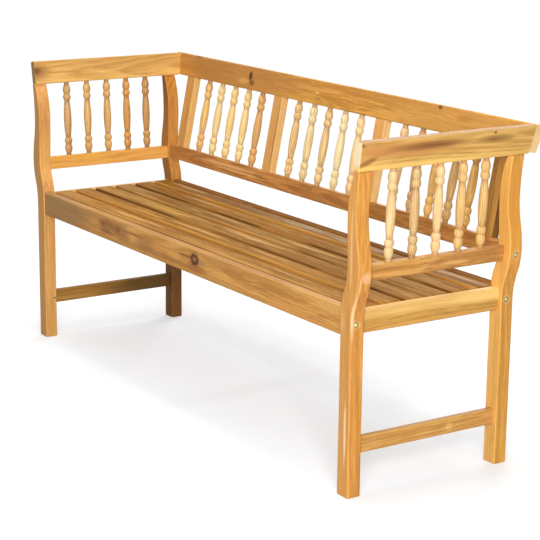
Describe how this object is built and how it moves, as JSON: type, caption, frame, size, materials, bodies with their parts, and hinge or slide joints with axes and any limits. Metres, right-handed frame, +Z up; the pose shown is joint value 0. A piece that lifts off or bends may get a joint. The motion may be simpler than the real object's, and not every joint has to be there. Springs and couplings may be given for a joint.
{
  "type": "deacons bench",
  "caption": "Wooden garden bench with an open slatted seat, S-curved posts, outward-leaning arm boards and turned spindles in its leaning back and arms.",
  "frame": {"origin": "on the floor, in the middle of the bench's bounding box, seen from above", "axes": "+X along the bench to the sitter's left (right in a front view), +Y from the front of the seat to the back, +Z up"},
  "size_m": [1.5518, 0.4892, 0.7767],
  "materials": {
    "post_wood": "oiled hardwood, warm orange brown",
    "arm_board_wood": "oiled hardwood with pale sapwood streaks",
    "spindle_wood": "oiled turned hardwood, pale yellow to orange",
    "stile_wood": "oiled hardwood",
    "back_rail_wood": "oiled hardwood, reddish brown",
    "side_rail_wood": "oiled hardwood",
    "seat_rail_wood": "oiled hardwood with knots",
    "slat_wood": "oiled hardwood, golden brown",
    "bearer_wood": "plain hardwood",
    "dowel_wood": "plain birch",
    "bolt_steel": "satin zinc plate",
    "nut_steel": "satin zinc plate",
    "pin_steel": "dark oxidised steel",
    "screw_steel": "yellow zinc plate"
  },
  "bodies": {
    "root": {"arm_board_left": "arm_board_wood", "arm_board_right": "arm_board_wood", "arm_lower_rail_left": "side_rail_wood", "arm_lower_rail_right": "side_rail_wood", "arm_screws": "screw_steel", "arm_spindle_left_1": "spindle_wood", "arm_spindle_left_2": "spindle_wood", "arm_spindle_left_3": "spindle_wood", "arm_spindle_left_4": "spindle_wood", "arm_spindle_left_5": "spindle_wood", "arm_spindle_right_1": "spindle_wood", "arm_spindle_right_2": "spindle_wood", "arm_spindle_right_3": "spindle_wood", "arm_spindle_right_4": "spindle_wood", "arm_spindle_right_5": "spindle_wood", "back_lower_rail": "back_rail_wood", "back_spindle_1": "spindle_wood", "back_spindle_10": "spindle_wood", "back_spindle_11": "spindle_wood", "back_spindle_12": "spindle_wood", "back_spindle_13": "spindle_wood", "back_spindle_14": "spindle_wood", "back_spindle_15": "spindle_wood", "back_spindle_2": "spindle_wood", "back_spindle_3": "spindle_wood", "back_spindle_4": "spindle_wood", "back_spindle_5": "spindle_wood", "back_spindle_6": "spindle_wood", "back_spindle_7": "spindle_wood", "back_spindle_8": "spindle_wood", "back_spindle_9": "spindle_wood", "back_stile_1": "stile_wood", "back_stile_2": "stile_wood", "back_stile_3": "stile_wood", "back_stile_4": "stile_wood", "back_top_rail": "back_rail_wood", "barrel_nuts": "nut_steel", "dowels": "dowel_wood", "frame_bolts": "bolt_steel", "front_post_left": "post_wood", "front_post_right": "post_wood", "leg_stretcher_left": "side_rail_wood", "leg_stretcher_right": "side_rail_wood", "rear_post_left": "post_wood", "rear_post_right": "post_wood", "seat_back_rail": "seat_rail_wood", "seat_centre_bearer": "bearer_wood", "seat_cleat_left": "bearer_wood", "seat_cleat_right": "bearer_wood", "seat_front_rail": "seat_rail_wood", "seat_screws": "screw_steel", "seat_side_rail_left": "side_rail_wood", "seat_side_rail_right": "side_rail_wood", "seat_slat_1": "slat_wood", "seat_slat_2": "slat_wood", "seat_slat_3": "slat_wood", "seat_slat_4": "slat_wood", "seat_slat_5": "slat_wood", "seat_slat_6": "slat_wood", "stretcher_pins": "pin_steel"}
  },
  "joints": []
}
